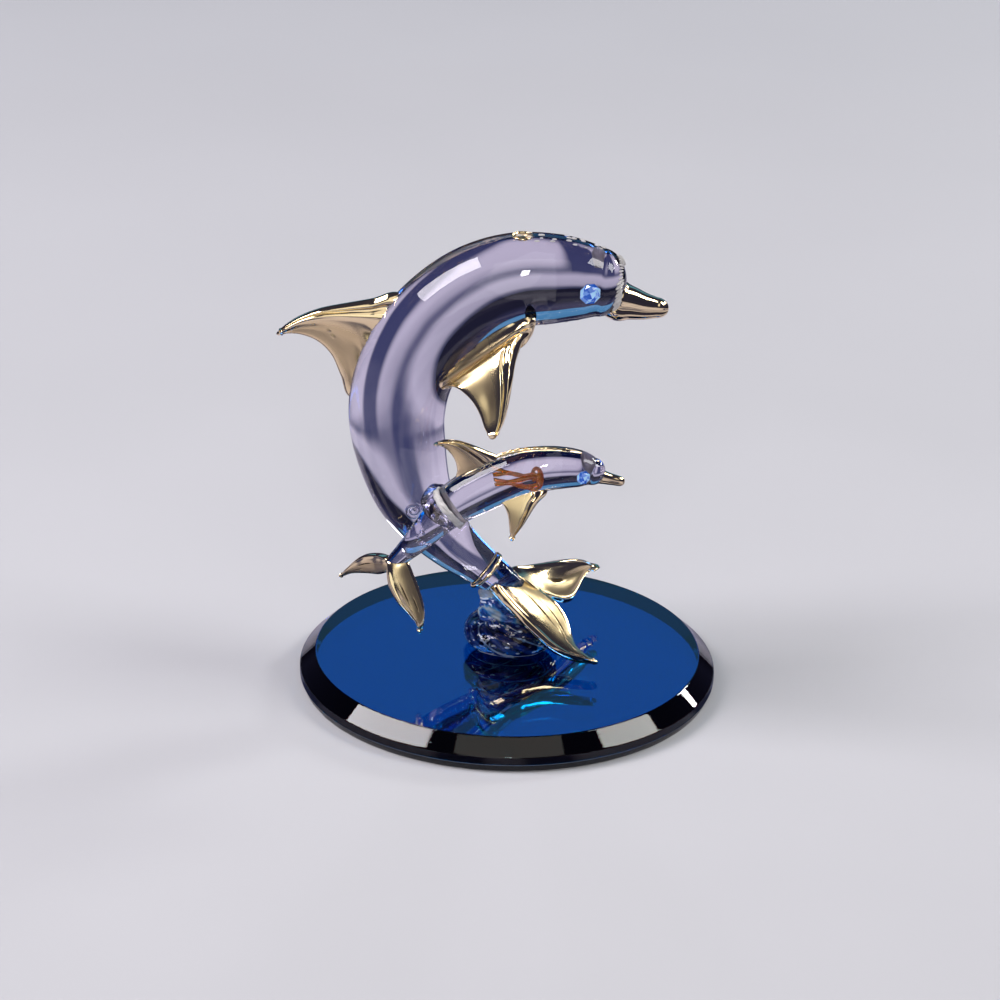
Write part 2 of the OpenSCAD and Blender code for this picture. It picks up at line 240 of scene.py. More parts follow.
felt_low, felt_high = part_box("base_felt")
felt_edge = 0.35 * MM
fray = 0.12 * MM
felt = disc(
    "felt_pad", felt_high.x, felt_low.z, felt_high.z, felt_edge, black_felt, around=384, wander=fray, seed=3
)
fit(felt, "black_felt", "base_felt")

# ---- Silvering ----
# Silver film on the back of the mirror glass, under a coat of grey backing paint.
# It is sprayed on, so it stops short of the ground edge by a hair.

silver_film = Finish("silver_film")
is_paint = silver_film.axis(silver_film.node("ShaderNodeNewGeometry", output="Normal"), "Z") < 0.5
silver_film.vary("Metallic", 1 - is_paint)
silver_film.vary("Base Color", silver_film.blend(is_paint, (0.86, 0.88, 0.90, 1), (0.16, 0.17, 0.19, 1)))
silver_film.vary("Roughness", 0.03 + is_paint * 0.55 + silver_film.cloud(160) * 0.03)

silver_low, silver_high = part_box("base_silvering")
silver_gap = 0.02 * MM
silver_r = silver_high.x - 0.15 * MM
silvering = disc(
    "silvering", silver_r, silver_low.z + silver_gap, silver_high.z - silver_gap, 0.03 * MM, silver_film
)
fit(silvering, "silvering", "base_silvering")

# ---- Mirror glass ----
# Round 5 mm float glass, blue in the body, with a wide bevel ground and polished round the rim.
# The edge under the bevel is ground too, and it keeps the faint lines of the wheel.

blue_mirror = Finish("blue_mirror_glass", Transmission_Weight=1.0, IOR=1.5, Specular_IOR_Level=0.08)
blue_mirror.shader.inputs["Base Color"].default_value = (0.0, 0.34, 0.72, 1)
blue_mirror.vary("Roughness", blue_mirror.cloud(900, 3) * 0.012)
across = blue_mirror.node("ShaderNodeMapping", {}, {"Vector": blue_mirror.place, "Scale": (1, 1, 40)})
blue_mirror.relief(blue_mirror.cloud(120, 1, across), 0.004 * MM)

bevel_w = 3.4 * MM
bevel_h = 3.2 * MM
glass_low, glass_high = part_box("base_glass")
glass_r = glass_high.x
glass_outline = [
    (0, glass_low.z), (glass_r, glass_low.z), (glass_r, glass_high.z - bevel_h),
    (glass_r - bevel_w, glass_high.z), (0, glass_high.z),
]
mirror_glass = turned("mirror_glass", soften(glass_outline, 0.18 * MM), blue_mirror, around=256)
fit(mirror_glass, "blue_mirror_glass", "base_glass")

# ---- Adhesive ----
# Clear adhesive, cured under the wave, with a slightly uneven edge where it was squeezed out.
# It holds the whole figurine to the mirror.

clear_glue = Finish("clear_adhesive", Base_Color=(0.80, 0.84, 0.90, 1), Transmission_Weight=0.85, IOR=1.45)
bubbly = clear_glue.cloud(1500, 3)
clear_glue.vary("Roughness", 0.08 + bubbly * 0.3)
clear_glue.relief(bubbly, 0.05 * MM)

glue_low, glue_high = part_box("glue_pad")
mirror_top = glass_high.z
wave_x = (glue_low.x + glue_high.x) / 2
wave_y = (glue_low.y + glue_high.y) / 2
glue_r = (glue_high.x - glue_low.x) / 2
glue_t = glue_high.z - glue_low.z
squeezed = 0.1 * MM
glue = disc(
    "glue_pad", glue_r, glue_low.z + 0.01 * MM, glue_high.z + squeezed, squeezed, clear_glue,
    wander=0.5 * MM, seed=8,
)
glue.data.transform(Matrix.Translation((wave_x, wave_y, 0)))
fit(glue, "clear_adhesive", "glue_pad")

# ---- Wave: coil ----
# A softened rod of clear glass with blue cased in it, wound nearly two turns to make a foot.
# It was twisted as it was wound, so its blue and white threads run round inside it.

sea_glass = Finish("blue_swirl_glass", Transmission_Weight=1.0, IOR=1.5)


def swirl(glass, place, size, bend, rough, depth, stops):
    """Folds of colour through the glass, which also roughen it and lift its skin a little."""
    folds = glass.node(
        "ShaderNodeTexWave", {"bands_direction": "DIAGONAL"},
        {"Vector": place, "Scale": size, "Distortion": bend, "Detail": 2, "Detail Scale": 2}, "Fac",
    )
    glass.vary("Base Color", glass.ramp(folds, stops))
    glass.vary("Roughness", folds * rough)
    glass.relief(folds, depth * MM)


swirl_place = {"Vector": sea_glass.place, "Scale": (1, 1, 2.6), "Rotation": (0.5, 0.3, 0)}
swirl(sea_glass, sea_glass.node("ShaderNodeMapping", {}, swirl_place), 55, 7, 0.02, 0.05, [
    (0.0, (0.03, 0.07, 0.20)), (0.45, (0.06, 0.16, 0.42)), (0.7, (0.35, 0.55, 0.85)), (1.0, (0.92, 0.96, 1.0)),
])


def cane_finish(name, colour):
    cane = Finish(name, Base_Color=colour, Coat_Weight=0.4)
    cane.vary("Roughness", 0.15 + cane.cloud(800) * 0.2)
    return cane


blue_cane = cane_finish("blue_cane", (0.01, 0.05, 0.28, 1))
white_cane = cane_finish("white_cane", (0.82, 0.88, 0.98, 1))


def keep(mesh, label, values, domain="POINT"):
    """Stores numbers or directions on a mesh, under a name that a finish or a recipe reads."""
    if isinstance(values[0], Vector):
        store = mesh.attributes.new(label, "FLOAT_VECTOR", domain)
        store.data.foreach_set("vector", [c for v in values for c in v])
    else:
        mesh.attributes.new(label, "FLOAT", domain).data.foreach_set("value", values)


def baked(piece, worker):
    """Plain mesh of the piece with its last modifier done, which is then taken off."""
    bpy.context.view_layer.update()
    shaped = piece.evaluated_get(bpy.context.evaluated_depsgraph_get())
    piece.data = bpy.data.meshes.new_from_object(shaped)
    piece.modifiers.remove(worker)


def workpiece(name, tree, points, edges=(), **marks):
    """Plain mesh that a Geometry Nodes tree makes from points, which carry the marks."""
    mesh = bpy.data.meshes.new(name)
    mesh.from_pydata(points, edges, [])
    for label, values in marks.items():
        keep(mesh, label, values)
    piece = bpy.data.objects.new(name, mesh)
    bpy.context.scene.collection.objects.link(piece)
    worker = piece.modifiers.new("worker", "NODES")
    worker.node_group = tree.tree
    for identifier, value in tree.asked.items():
        worker[identifier] = value
    baked(piece, worker)
    piece.data.name = name
    bpy.data.meshes.remove(mesh)
    return piece


class Recipe(Board):
    """A Geometry Nodes tree with named inputs."""

    def __init__(self, name):
        super().__init__(bpy.data.node_groups.new(name, "GeometryNodeTree"))
        self.tree.interface.new_socket("Geometry", in_out="INPUT", socket_type="NodeSocketGeometry")
        self.tree.interface.new_socket("Geometry", in_out="OUTPUT", socket_type="NodeSocketGeometry")
        self.entry = self.tree.nodes.new("NodeGroupInput")
        self.asked = {}

    def ask(self, name, value):
        """Named input of the tree, with the size that this piece gives it."""
        socket = self.tree.interface.new_socket(name, in_out="INPUT", socket_type="NodeSocketFloat")
        self.asked[socket.identifier] = value
        return Wire(self, self.entry.outputs[name])

    def start(self):
        return Wire(self, self.entry.outputs["Geometry"])

    def finish(self, shape, finish):
        """Realizes the shape, smooths it and gives it its material."""
        shape = self.node("GeometryNodeRealizeInstances", {}, {0: shape})
        shape = self.node("GeometryNodeSetShadeSmooth", {}, {0: shape, "Shade Smooth": True})
        shape = self.node("GeometryNodeSetMaterial", {}, {0: shape, "Material": finish.material})
        self.feed(self.tree.nodes.new("NodeGroupOutput").inputs[0], shape)
        return self

    def mark(self, label, kind="FLOAT_VECTOR", output=0):
        return self.node("GeometryNodeInputNamedAttribute", {"data_type": kind}, {"Name": label}, output)

    def ring(self, sides):
        return self.node("GeometryNodeCurvePrimitiveCircle", {}, {"Resolution": sides, "Radius": 1.0}, "Curve")

    def swept(self, line, outline, size):
        return self.node("GeometryNodeCurveToMesh", {}, {
            "Curve": line, "Profile Curve": outline, "Scale": size, "Fill Caps": True,
        })


rod_end_share = 0.035
least_quarter = 0.0004
ripple_depth = 0.035


def wound_rod(name, finish, thick, turns_of_twist, off_centre, phase, lobes):
    """Recipe for the coil's rod or a thread inside it, along the same line."""
    tree = Recipe(name)
    thick = tree.ask("Rod radius", thick * MM)
    twist = tree.ask("Twist", turns_of_twist * tau)
    off = tree.ask("Off centre", off_centre * MM)
    line = tree.node("GeometryNodeMeshToCurve", {}, {0: tree.start()})
    share = tree.node("GeometryNodeSplineParameter", output="Factor")
    angle = share * twist + phase
    normal = tree.node("GeometryNodeInputNormal")
    along = tree.node("GeometryNodeInputTangent")
    side = tree.node("ShaderNodeVectorMath", {"operation": "CROSS_PRODUCT"}, {0: along, 1: normal})
    taper = tree.mark("taper", "FLOAT", "Attribute")
    shift = tree.node("ShaderNodeVectorMath", {"operation": "ADD"}, {
        0: tree.scaled(normal, off * taper * tree.math("COSINE", angle)),
        1: tree.scaled(side, off * taper * tree.math("SINE", angle)),
    })
    line = tree.node("GeometryNodeSetPosition", {}, {0: line, "Offset": shift})
    line = tree.node("GeometryNodeSetCurveTilt", {}, {0: line, "Tilt": angle})
    # The ends are rounded: the rod's radius runs out as a quarter circle over its last stretch
    near_end = tree.math("MINIMUM", share, 1 - share) / rod_end_share
    back = tree.math("MAXIMUM", 1 - near_end, 0.0)
    quarter = tree.math("SQRT", tree.math("MAXIMUM", 1 - back * back, least_quarter))
    spot = tree.node("GeometryNodeSplineParameter", output="Factor")
    ripple = tree.math("COSINE", spot * (tau * lobes)) * ripple_depth + 1.0
    rippled = tree.scaled(tree.node("GeometryNodeInputPosition"), ripple)
    outline = tree.node("GeometryNodeSetPosition", {}, {0: tree.ring(48), "Position": rippled})
    return tree.finish(tree.swept(line, outline, thick * taper * quarter), finish)


coil_outer = 7.3
coil_inner = 4.6
coil_rod = 2.8
coil_rise = 2.4
coil_turns = 1.7
coil_level_share = 0.6
coil_start = radians(92)
coil_end_taper = 0.75
coil_low = mirror_top + glue_t + (coil_rod - 0.2) * MM


def wave_spot(reach, turn, high, lean=(0, 0)):
    """Place so far out from the wave's own axis, which may lean, in metres."""
    return Vector((wave_x + lean[0] + reach * cos(turn), wave_y + lean[1] + reach * sin(turn), high))


def coil_spot(share, reach=0.0, lift=0.0):
    """Place along the rod, or so far outside and above its middle, and how much the rod has thinned there."""
    climb = max(0.0, (share - coil_level_share) / (1 - coil_level_share))
    turn = coil_start - tau * coil_turns * share
    ring_r = (coil_outer + (coil_inner - coil_outer) * climb + reach) * MM
    high = coil_low + (coil_rise * climb + lift) * MM
    return wave_spot(ring_r, turn, high), 1 - (1 - coil_end_taper) * climb


def wind(name, recipe):
    """Winds a rod or a thread along the coil's line, and presses its underside flat on the adhesive."""
    steps = 200
    spots, tapers = zip(*[coil_spot(j / steps) for j in range(steps + 1)])
    piece = workpiece(name, recipe, spots, [(j, j + 1) for j in range(steps)], taper=tapers)
    for point in piece.data.vertices:
        point.co.z = max(point.co.z, mirror_top + glue_t)
    return piece


coil = wind("wave_coil", wound_rod("coil_rod", sea_glass, coil_rod, 3.0, 0.0, 0.0, 5))
fit(coil, "blue_swirl_glass", "wave_coil")
for number, phase in enumerate(turns(6)):
    cane, thick = (white_cane, 0.14) if number % 3 == 0 else (blue_cane, 0.62)
    cane_name = f"coil_cane_{number}"
    thread = wind(cane_name, wound_rod(cane_name, cane, thick, 4.0, 1.75, phase, 3))
    fit(thread, "blue_swirl_glass")


def lump_recipe(name, finish, long, wide, tall, seed):
    """Recipe that stands a lump of glass on each point, lying along that point's own direction."""
    tree = Recipe(name)
    long = tree.ask("Length", long * MM)
    wide = tree.ask("Width", wide * MM)
    tall = tree.ask("Height", tall * MM)
    lump = tree.node("GeometryNodeMeshUVSphere", {}, {"Segments": 12, "Rings": 8, "Radius": 1.0}, "Mesh")
    axes = {"primary_axis": "X", "secondary_axis": "Z"}
    turn = tree.node("FunctionNodeAxesToRotation", axes, {0: tree.mark("way"), 1: tree.mark("out")})
    size = tree.node("ShaderNodeCombineXYZ", {}, {0: long, 1: wide, 2: tall})
    jitter = tree.node("FunctionNodeRandomValue", {"data_type": "FLOAT"}, {2: 0.55, 3: 1.35, "Seed": seed}, 1)
    lumps = tree.node("GeometryNodeInstanceOnPoints", {}, {
        "Points": tree.start(), "Instance": lump, "Rotation": turn, "Scale": tree.scaled(size, jitter),
    })
    return tree.finish(lumps, finish)


def set_lumps(name, seats, finish, sizes, seed):
    """Lumps of glass on seats: a place in metres, the way the lump lies and the way out of the glass."""
    spots, ways, outs = zip(*seats)
    return workpiece(name, lump_recipe(name, finish, *sizes, seed), spots, way=ways, out=outs)


# White flecks just under the rod's skin: painted highlights, standing in for the glints of small seed bubbles
# in the coil
chance = random.Random(31)
glint_speck_seats = []
for _ in range(170):
    share = chance.uniform(0.05, 0.98)
    side = chance.uniform(-1.1, 1.9)
    middle, taper = coil_spot(share)
    out_r = coil_rod * taper * chance.uniform(0.74, 0.92)
    spot, _ = coil_spot(share, out_r * cos(side), out_r * sin(side))
    ahead, _ = coil_spot(share + 0.005)
    glint_speck_seats.append((spot, (ahead - middle).normalized(), (spot - middle).normalized()))
fit(set_lumps("coil_specks", glint_speck_seats, white_cane, (0.42, 0.18, 0.14), 31), "blue_swirl_glass")

# ---- Wave: neck ----
# The wave's column: three lobes of clear and blue glass, twisted as they were pulled up to the tail.
# Its foot is melted into the coil, and blue and white threads curl round inside it.

neck_line = [(0.3, 5), (2.5, 5.2), (4.5, 5.4), (6, 5.5), (7.4, 5.2), (9, 4.8), (11, 4.6), (13, 3.4)]
neck_twist = radians(26)
neck_lean = (-0.2, 0.13)


def drawn(points, steps):
    """Smooth line through the points, as glass is drawn, with so many places to a span."""
    places = [Vector(p) for p in points]
    last = len(places) - 1
    line = []
    for i in range(last):
        a, b, c, d = places[max(i - 1, 0)], places[i], places[i + 1], places[min(i + 2, last)]
        for step in range(steps):
            t = step / steps
            line.append(0.5 * (
                2 * b + (c - a) * t + (2 * a - 5 * b + 4 * c - d) * t * t + (3 * b - a - 3 * c + d) * t ** 3
            ))
    return line + [places[last]]


def neck_spot(height, reach, turn):
    """Place in the twisted neck, in metres."""
    lean = [share * height * MM for share in neck_lean]
    return wave_spot(reach * MM, turn, mirror_top + height * MM, lean)


neck_stations = drawn(neck_line, 12)
neck_rings = []
for height, radius in neck_stations:
    ring = []
    for a in turns(96):
        lobed = 1 + 0.075 * cos(3 * (a - neck_twist * height)) + 0.02 * cos(11 * (a + 0.5 * height))
        ring.append(neck_spot(height, radius * lobed, a))
    neck_rings.append(ring)
pale_sea_glass = Finish("pale_blue_swirl_glass", Transmission_Weight=0.6, IOR=1.5)
swirl(pale_sea_glass, pale_sea_glass.place, 90, 9, 0.03, 0.08, [
    (0.0, (0.01, 0.06, 0.40)), (0.4, (0.04, 0.28, 0.85)), (0.72, (0.22, 0.58, 1.0)), (0.98, (0.80, 0.92, 1.0)),
])
neck_ends = [neck_spot(neck_line[end][0], 0, 0) for end in (0, -1)]
neck = close_skin("wave_neck", neck_rings, *neck_ends, pale_sea_glass)
fit(neck, "blue_swirl_glass", "wave_neck")


def glass_thread(name, finish, thick, count):
    """Recipe that sweeps a fine thread of glass along the piece's own line."""
    tree = Recipe(name)
    thick = tree.ask("Thread radius", thick * MM)
    swell = tree.ask("Beads", count)
    line = tree.node("GeometryNodeMeshToCurve", {}, {0: tree.start()})
    share = tree.node("GeometryNodeSplineParameter", output="Factor")
    beads = tree.math("SINE", share * swell * tau) * 0.18 + 1.0
    return tree.finish(tree.swept(line, tree.ring(14), thick * beads), finish)


def lay_thread(name, spots, finish, thick, closed=False, count=0.0):
    """Fine thread of glass laid along a line of places, in metres."""
    edges = [(i, i + 1) for i in range(len(spots) - 1)]
    if closed:
        edges.append((len(spots) - 1, 0))
    return workpiece(name, glass_thread(name, finish, thick, count), spots, edges)


# A fine white thread just inside the coil's skin, round its foot: a painted highlight, standing in for the
# bright line of light along the coil's lower edge
highlight_spots = []
for turn in turns(120):
    foot_r = (coil_outer + 1.9 + 0.06 * sin(5 * turn)) * MM
    highlight_spots.append(wave_spot(foot_r, turn, coil_low - 1.75 * MM))
foot_highlight = lay_thread("coil_foot_line", highlight_spots, white_cane, 0.13, closed=True, count=9.0)
fit(foot_highlight, "blue_swirl_glass")

# Threads curl up inside the neck a little faster than its lobes
cane_top = 12.2
chance = random.Random(21)
for number, phase in enumerate(turns(9)):
    cane, thick = (blue_cane, 0.45) if number % 3 == 2 else (white_cane, 0.24)
    turn = phase + chance.uniform(-0.2, 0.2)
    foot = chance.uniform(0.9, 1.6)
    spots = []
    for step in range(60):
        height = foot + (cane_top - foot) * step / 59
        radius = next(p[1] for p in neck_stations if p[0] >= height)
        curl = turn + neck_twist * height * 1.6
        spots.append(neck_spot(height, radius * (0.84 + 0.12 * sin(height * 1.1 + number)), curl))
    fit(lay_thread(f"neck_cane_{number}", spots, cane, thick), "blue_swirl_glass")

# ---- Mother's body ----
# Solid clear glass, gathered and drawn over the flame in one long arch from tail stock to forehead.
# It is fire-polished, so its skin is bright, with the slow waves that hand work leaves.

crystal = Finish("clear_crystal", Transmission_Weight=1.0, IOR=1.5)
crystal.shader.inputs["Base Color"].default_value = (0.90, 0.88, 0.97, 1)
crystal.vary("Roughness", crystal.cloud(300, 2) * 0.006)
crystal.relief(crystal.cloud(110, 1), 0.06 * MM)

dome_turns = [radians(a) for a in (8, 17, 26, 35, 44, 53, 61, 69, 76, 83)]
crossways = Vector((0, 1, 0))


def stand_from(mid_y, side=1, root=(0, 0, 0)):
    """Places, in metres, from a body's mid-plane and the mirror's face, or from a root in that plane."""
    x0, y0, h0 = root
    return lambda x, y, height: Vector((
        (x0 + x) * MM, mid_y + (y0 + side * y) * MM, mirror_top + (h0 + height) * MM
    ))


def drawn_body(name, line, mid_y, tail, nose, finish, sides=64, steps=12, shape=None):
    """Solid round body along a flat mid-line of (x, height, radius), rounded off over tail and nose."""
    stations = [(Vector((x, 0, h)), r) for x, h, r in drawn(line, steps)]
    way_back = (stations[0][0] - stations[1][0]).normalized()
    way_on = (stations[-1][0] - stations[-2][0]).normalized()
    (first, first_r), (last, last_r) = stations[0], stations[-1]
    tail_end = [(first + way_back * tail * sin(a), first_r * cos(a)) for a in dome_turns]
    nose_end = [(last + way_on * nose * sin(a), last_r * cos(a)) for a in dome_turns]
    stations = tail_end[::-1] + stations + nose_end
    count = len(stations) - 1
    stand = stand_from(mid_y)
    rings = []
    for i, (centre, radius) in enumerate(stations):
        way = (stations[min(i + 1, count)][0] - stations[max(i - 1, 0)][0]).normalized()
        up = way.cross(crossways)
        ring = []
        for a in turns(sides):
            reach = radius * (shape(i / count, a) if shape else 1)
            ring.append(stand(*(centre + reach * (cos(a) * crossways + sin(a) * up))))
        rings.append(ring)
    return close_skin(name, rings, stand(*(first + way_back * tail)), stand(*(last + way_on * nose)), finish)


mother_low, mother_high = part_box("mother_body")
mother_y = (mother_low.y + mother_high.y) / 2
mother_line = [
    (0.5, 11.8, 3.6), (-5.3, 16.7, 4.2), (-11.8, 22, 5.5), (-17, 28, 7), (-21, 35, 8.4),
    (-23.5, 44, 9.6), (-24.5, 52.5, 10.2), (-23.2, 61, 10.4), (-19.5, 69, 10.5), (-14, 75.5, 10.5),
    (-7.5, 80.4, 10.3), (0, 83.2, 10), (8, 83.8, 9.4), (13.5, 83.6, 8.4), (17.5, 83.2, 7.2),
]
on_mother = stand_from(mother_y)
mother = drawn_body("mother_body", mother_line, mother_y, 2.4, 5.6, crystal, sides=80)
fit(mother, "clear_crystal", "mother_body")

# ---- Melt ridges and beads on the mother ----
# Where the beak was pressed on, the hot glass was drawn up in fine slanted ridges round the face.
# Small beads of melt stand along the forehead and under the chin. All of it is the body's own glass.

rough_crystal = Finish("rough_crystal", Base_Color=(0.97, 0.95, 0.92, 1), Transmission_Weight=0.5, IOR=1.5)
lumpy = rough_crystal.cloud(1100, 2)
rough_crystal.vary("Roughness", 0.04 + lumpy * 0.2)
rough_crystal.relief(lumpy, 0.25 * MM)


def ring_seats(centre, radius, long_off, way_on, count, slant):
    """Seats round a head, on the slope of its nose, for slanted ridges."""
    up = way_on.cross(crossways)
    slope = radians(48)
    seats = []
    for a in turns(count):
        out = cos(a) * crossways + sin(a) * up
        face = (out * cos(slope) + way_on * sin(slope)).normalized()
        down = (way_on * cos(slope) - out * sin(slope)).normalized()
        lie = (down * cos(slant) + out.cross(way_on) * sin(slant)).normalized()
        seats.append((centre + out * radius * MM + way_on * long_off * MM, lie, face))
    return seats


nose_way = Vector((4, 0, -0.4)).normalized()
ridge_seats = ring_seats(on_mother(17.5, 0, 83.2), 5.15, 3.95, nose_way, 40, 0.6)
ridges = set_lumps("mother_melt_ridges", ridge_seats, rough_crystal, (1.35, 0.32, 0.42), 4)
fit(ridges, "clear_crystal")


def bead_seats(line, stand, first, last, count, above, seed):
    """Seats scattered along the back (above = 1) or the chin (-1) of a body, on its skin."""
    chance = random.Random(seed)
    fine_line = drawn(line, 20)
    seats = []
    for _ in range(count):
        i = int((first + (last - first) * chance.random()) * (len(fine_line) - 2))
        x, h, r = fine_line[i]
        step = fine_line[i + 1] - fine_line[i]
        way = Vector((step.x, 0, step.y)).normalized()
        lean = radians(chance.uniform(-16, 16))
        up = Vector((-way.z, 0, way.x)) * above
        out = (up * cos(lean) + crossways * sin(lean)).normalized()
        seats.append((stand(*(Vector((x, 0, h)) + out * r)), way, out))
    return seats


for name, first, above in (("mother_brow_beads", 0.80, 1), ("mother_chin_beads", 0.78, -1)):
    seats = bead_seats(mother_line, on_mother, first, 1.0, 22, above, 11)
    fit(set_lumps(name, seats, rough_crystal, (0.55, 0.24, 0.22), 11), "clear_crystal")

# ---- Gold lustre pieces: the mother's fins ----
# Each fin is clear glass, pulled and pressed with a paddle while hot, fused to the body, then painted
# with bright gold lustre and fired. Its edges are rolled, and its web is thin, where the gold looks brown.
# The lines scored in the web are painted near black, as painted shade.

gold = Finish("gold_lustre", Metallic=1.0)
web = gold.mark("web")
breath = gold.cloud(240, 3)
# The mark runs from 0 to 1 for the thin web's browner gold; above 1, in the scored lines, it paints them near
# black as painted shade
gold.vary("Base Color", gold.blend(web - 1, gold.blend(
    web * (0.65 + breath * 0.5), (1.0, 0.83, 0.50, 1), (0.80, 0.63, 0.34, 1)
), (0.09, 0.06, 0.03, 1)))
gold.vary("Roughness", 0.06 + web * 0.22 + gold.cloud(900, 2) * 0.03)
gold.relief(gold.cloud(260, 1), 0.07 * MM)


def swell(x, middle, width):
    """Smooth hump that is 1 in its middle and dies away over its width."""
    return exp(-((x - middle) / width) ** 2)


# How far the rounded tip reaches, how deep and wide a score is, and how long a bead is
tip_reach = 0.7
score_depth = 0.2
score_w = 0.014
bead_long = 0.022


def held(value):
    """The value, held between 0 and 1."""
    return min(1, max(0, value))


def pulled_fin(name, lead, trail, sizes, work, stand, steps=16, around=144, beads=((0.97, 0.3),), scores=()):
    """Fin between a leading and a trailing edge; work(s, u) is what the tool leaves on its faces.
    Sizes are its thickness at the root and the tip, and how far it is dished.
    Beads are (share of the length, swelling), where the hot tip drew itself up into a drop.
    Scores are (share of the width, middle, half length) of the lines cut into the web; their grooves are
    painted near black, as painted shade."""
    root_t, tip_t, dish = sizes
    front, back = drawn(lead, steps), drawn(trail, steps)
    last = len(front) - 1
    mids = [(a + b) / 2 for a, b in zip(front, back)]
    rings, webs_and_shade = [], []
    for i in range(last + 1):
        s = i / last
        chord = back[i] - front[i]
        way = (mids[min(i + 1, last)] - mids[max(i - 1, 0)]).normalized()
        up = way.cross(chord).normalized()
        thick = root_t + (tip_t - root_t) * s
        ring = []
        for a in turns(around):
            u = (1 + cos(a)) / 2
            side = sin(a)
            scored = sum(swell(u, at, score_w) * swell(s, middle, long) for at, middle, long in scores)
            tooled = (work(s, u) - score_depth * scored) * min(1, abs(side) * 2.5)
            lift = side * thick * (0.62 - 0.35 * u) + (tooled if side >= 0 else -tooled)
            ring.append(front[i] + chord * u + up * (lift + dish * chord.length * u * (1 - u)))
            bare = held((u - 0.22) * 4) * held((0.97 - u) * 12) * held((0.93 - s) * 8)
            # Inside a score the mark goes above 1: painted shade in the groove
            webs_and_shade.append(bare + (3 * scored if scored > 0.25 else 0))
        swelling = sum(much * swell(s, at, bead_long) for at, much in beads)
        middle = sum(ring, Vector()) / around
        rings.append([p + (p - middle).normalized() * swelling for p in ring])
    middle = sum(rings[-1], Vector()) / around
    way = (mids[-1] - mids[-2]).normalized() * tip_reach
    for turn in (25, 48, 68, 82):
        a = radians(turn)
        rings.append([middle + (p - middle) * cos(a) + way * sin(a) for p in rings[last]])
    start = sum(rings[0], Vector()) / around
    piece = close_skin(
        name, [[stand(*p) for p in ring] for ring in rings], stand(*start), stand(*(middle + way)), gold
    )
    keep(piece.data, "web", webs_and_shade + [0.0] * (len(piece.data.vertices) - len(webs_and_shade)))
    return piece


# How far below the skin of its neighbour a piece is seated
seated = 0.12


def trim(piece, *neighbours):
    """Takes the neighbours' glass out of a piece, so that it is seated only a hair below their skin."""
    for neighbour in neighbours:
        core = neighbour.copy()
        core.data = neighbour.data.copy()
        bpy.context.scene.collection.objects.link(core)
        normals = [v.normal.copy() for v in core.data.vertices]
        for point, normal in zip(core.data.vertices, normals):
            point.co -= normal * seated * MM
        cut = piece.modifiers.new("cut", "BOOLEAN")
        cut.operation = "DIFFERENCE"
        cut.solver = "MANIFOLD"
        cut.object = core
        baked(piece, cut)
        bpy.data.objects.remove(core)


def fuse_fin(name, lead, trail, sizes, work, stand, fused_to, **more):
    """A fin, pulled, seated against the glass it is fused to, and lustred."""
    fin = pulled_fin(name, lead, trail, sizes, work, stand, **more)
    trim(fin, *fused_to)
    fit(fin, "gold_lustre", name)
    return fin


def dorsal_work(s, u):
    rolls = 0.45 * swell(u, 0.06, 0.045) + 0.42 * swell(u, 0.2, 0.05) - 0.5 * swell(u, 0.125, 0.022)
    flutes = 0.45 * sin(26 * u + 9 * s) * swell(s, 0.16, 0.09) * swell(u, 0.5, 0.35)
    thin = -0.55 * swell(u, 0.62, 0.22) * swell(s, 0.5, 0.4)
    pits = 0.3 * (
        swell(s, 0.62, 0.012) * swell(u, 0.45, 0.02) + swell(s, 0.5, 0.012) * swell(u, 0.58, 0.02)
        + swell(s, 0.46, 0.012) * swell(u, 0.66, 0.02)
    )
    return rolls * (1 - 0.5 * s) + flutes + thin + pits


dorsal_lead = [
    (-19, 0, 78.2), (-25, 0, 80), (-29.7, 0, 78.5), (-35.2, 0, 77.3), (-40.4, 0, 76.1),
    (-44.7, 0, 74.3), (-47.8, 0, 72.2), (-49.5, 0, 70.5),
]
dorsal_trail = [
    (-27.6, 0, 57), (-34.4, 0, 56), (-36.4, 0, 60.8), (-38.4, 0, 65.5), (-41.3, 0, 68.5),
    (-44.7, 0, 69.9), (-47.2, 0, 70.1), (-49.1, 0, 69.8),
]
fuse_fin("mother_dorsal_fin", dorsal_lead, dorsal_trail, (4.6, 1.4, 0), dorsal_work, on_mother, [mother])


def pectoral_work(s, u):
    rims = 0.45 * swell(s, 0.125, 0.016) + 0.35 * swell(s, 0.185, 0.016) - 0.2 * swell(s, 0.155, 0.010)
    lead_roll = (0.35 + 0.05 * sin(s * 60)) * swell(u, 0.07, 0.06)
    crease = -0.4 * swell(u, 0.22, 0.025) * held((s - 0.2) * 6)
    thin = -0.6 * swell(u, 0.6, 0.25) * swell(s, 0.5, 0.35)
    return rims + lead_roll + crease + thin


pectoral_lead = [
    (2.2, -6, 82.2), (4.3, -8, 77), (1.6, -9.5, 73.2), (0.4, -11.5, 70), (-0.2, -13.5, 66.2),
    (-0.8, -15, 62.2), (-1.8, -16.5, 58), (-3.3, -17.3, 55.2),
]
pectoral_trail = [
    (-18.8, -5, 68.6), (-15.3, -8, 62), (-13.2, -9.5, 62.9), (-11.2, -11.5, 63), (-8.7, -13.5, 61.5),
    (-6.9, -15, 59), (-5.8, -16.5, 56.5), (-4.9, -17.3, 55.2),
]
for name, side in (("mother_pectoral_near", 1), ("mother_pectoral_far", -1)):
    stand = stand_from(mother_y, side)
    fuse_fin(name, pectoral_lead, pectoral_trail, (3.4, 1.6, 0.06), pectoral_work, stand, [mother])


def fluke_near_work(s, u):
    return 0.4 * swell(u, 0.08, 0.06)


def fluke_far_work(s, u):
    rolls = 0.45 * swell(u, 0.07, 0.06) + 0.3 * swell(u, 0.93, 0.05) * min(1, s * 4)
    dished = -0.6 * swell(u, 0.5, 0.2) * swell(s, 0.55, 0.22)
    return rolls + dished


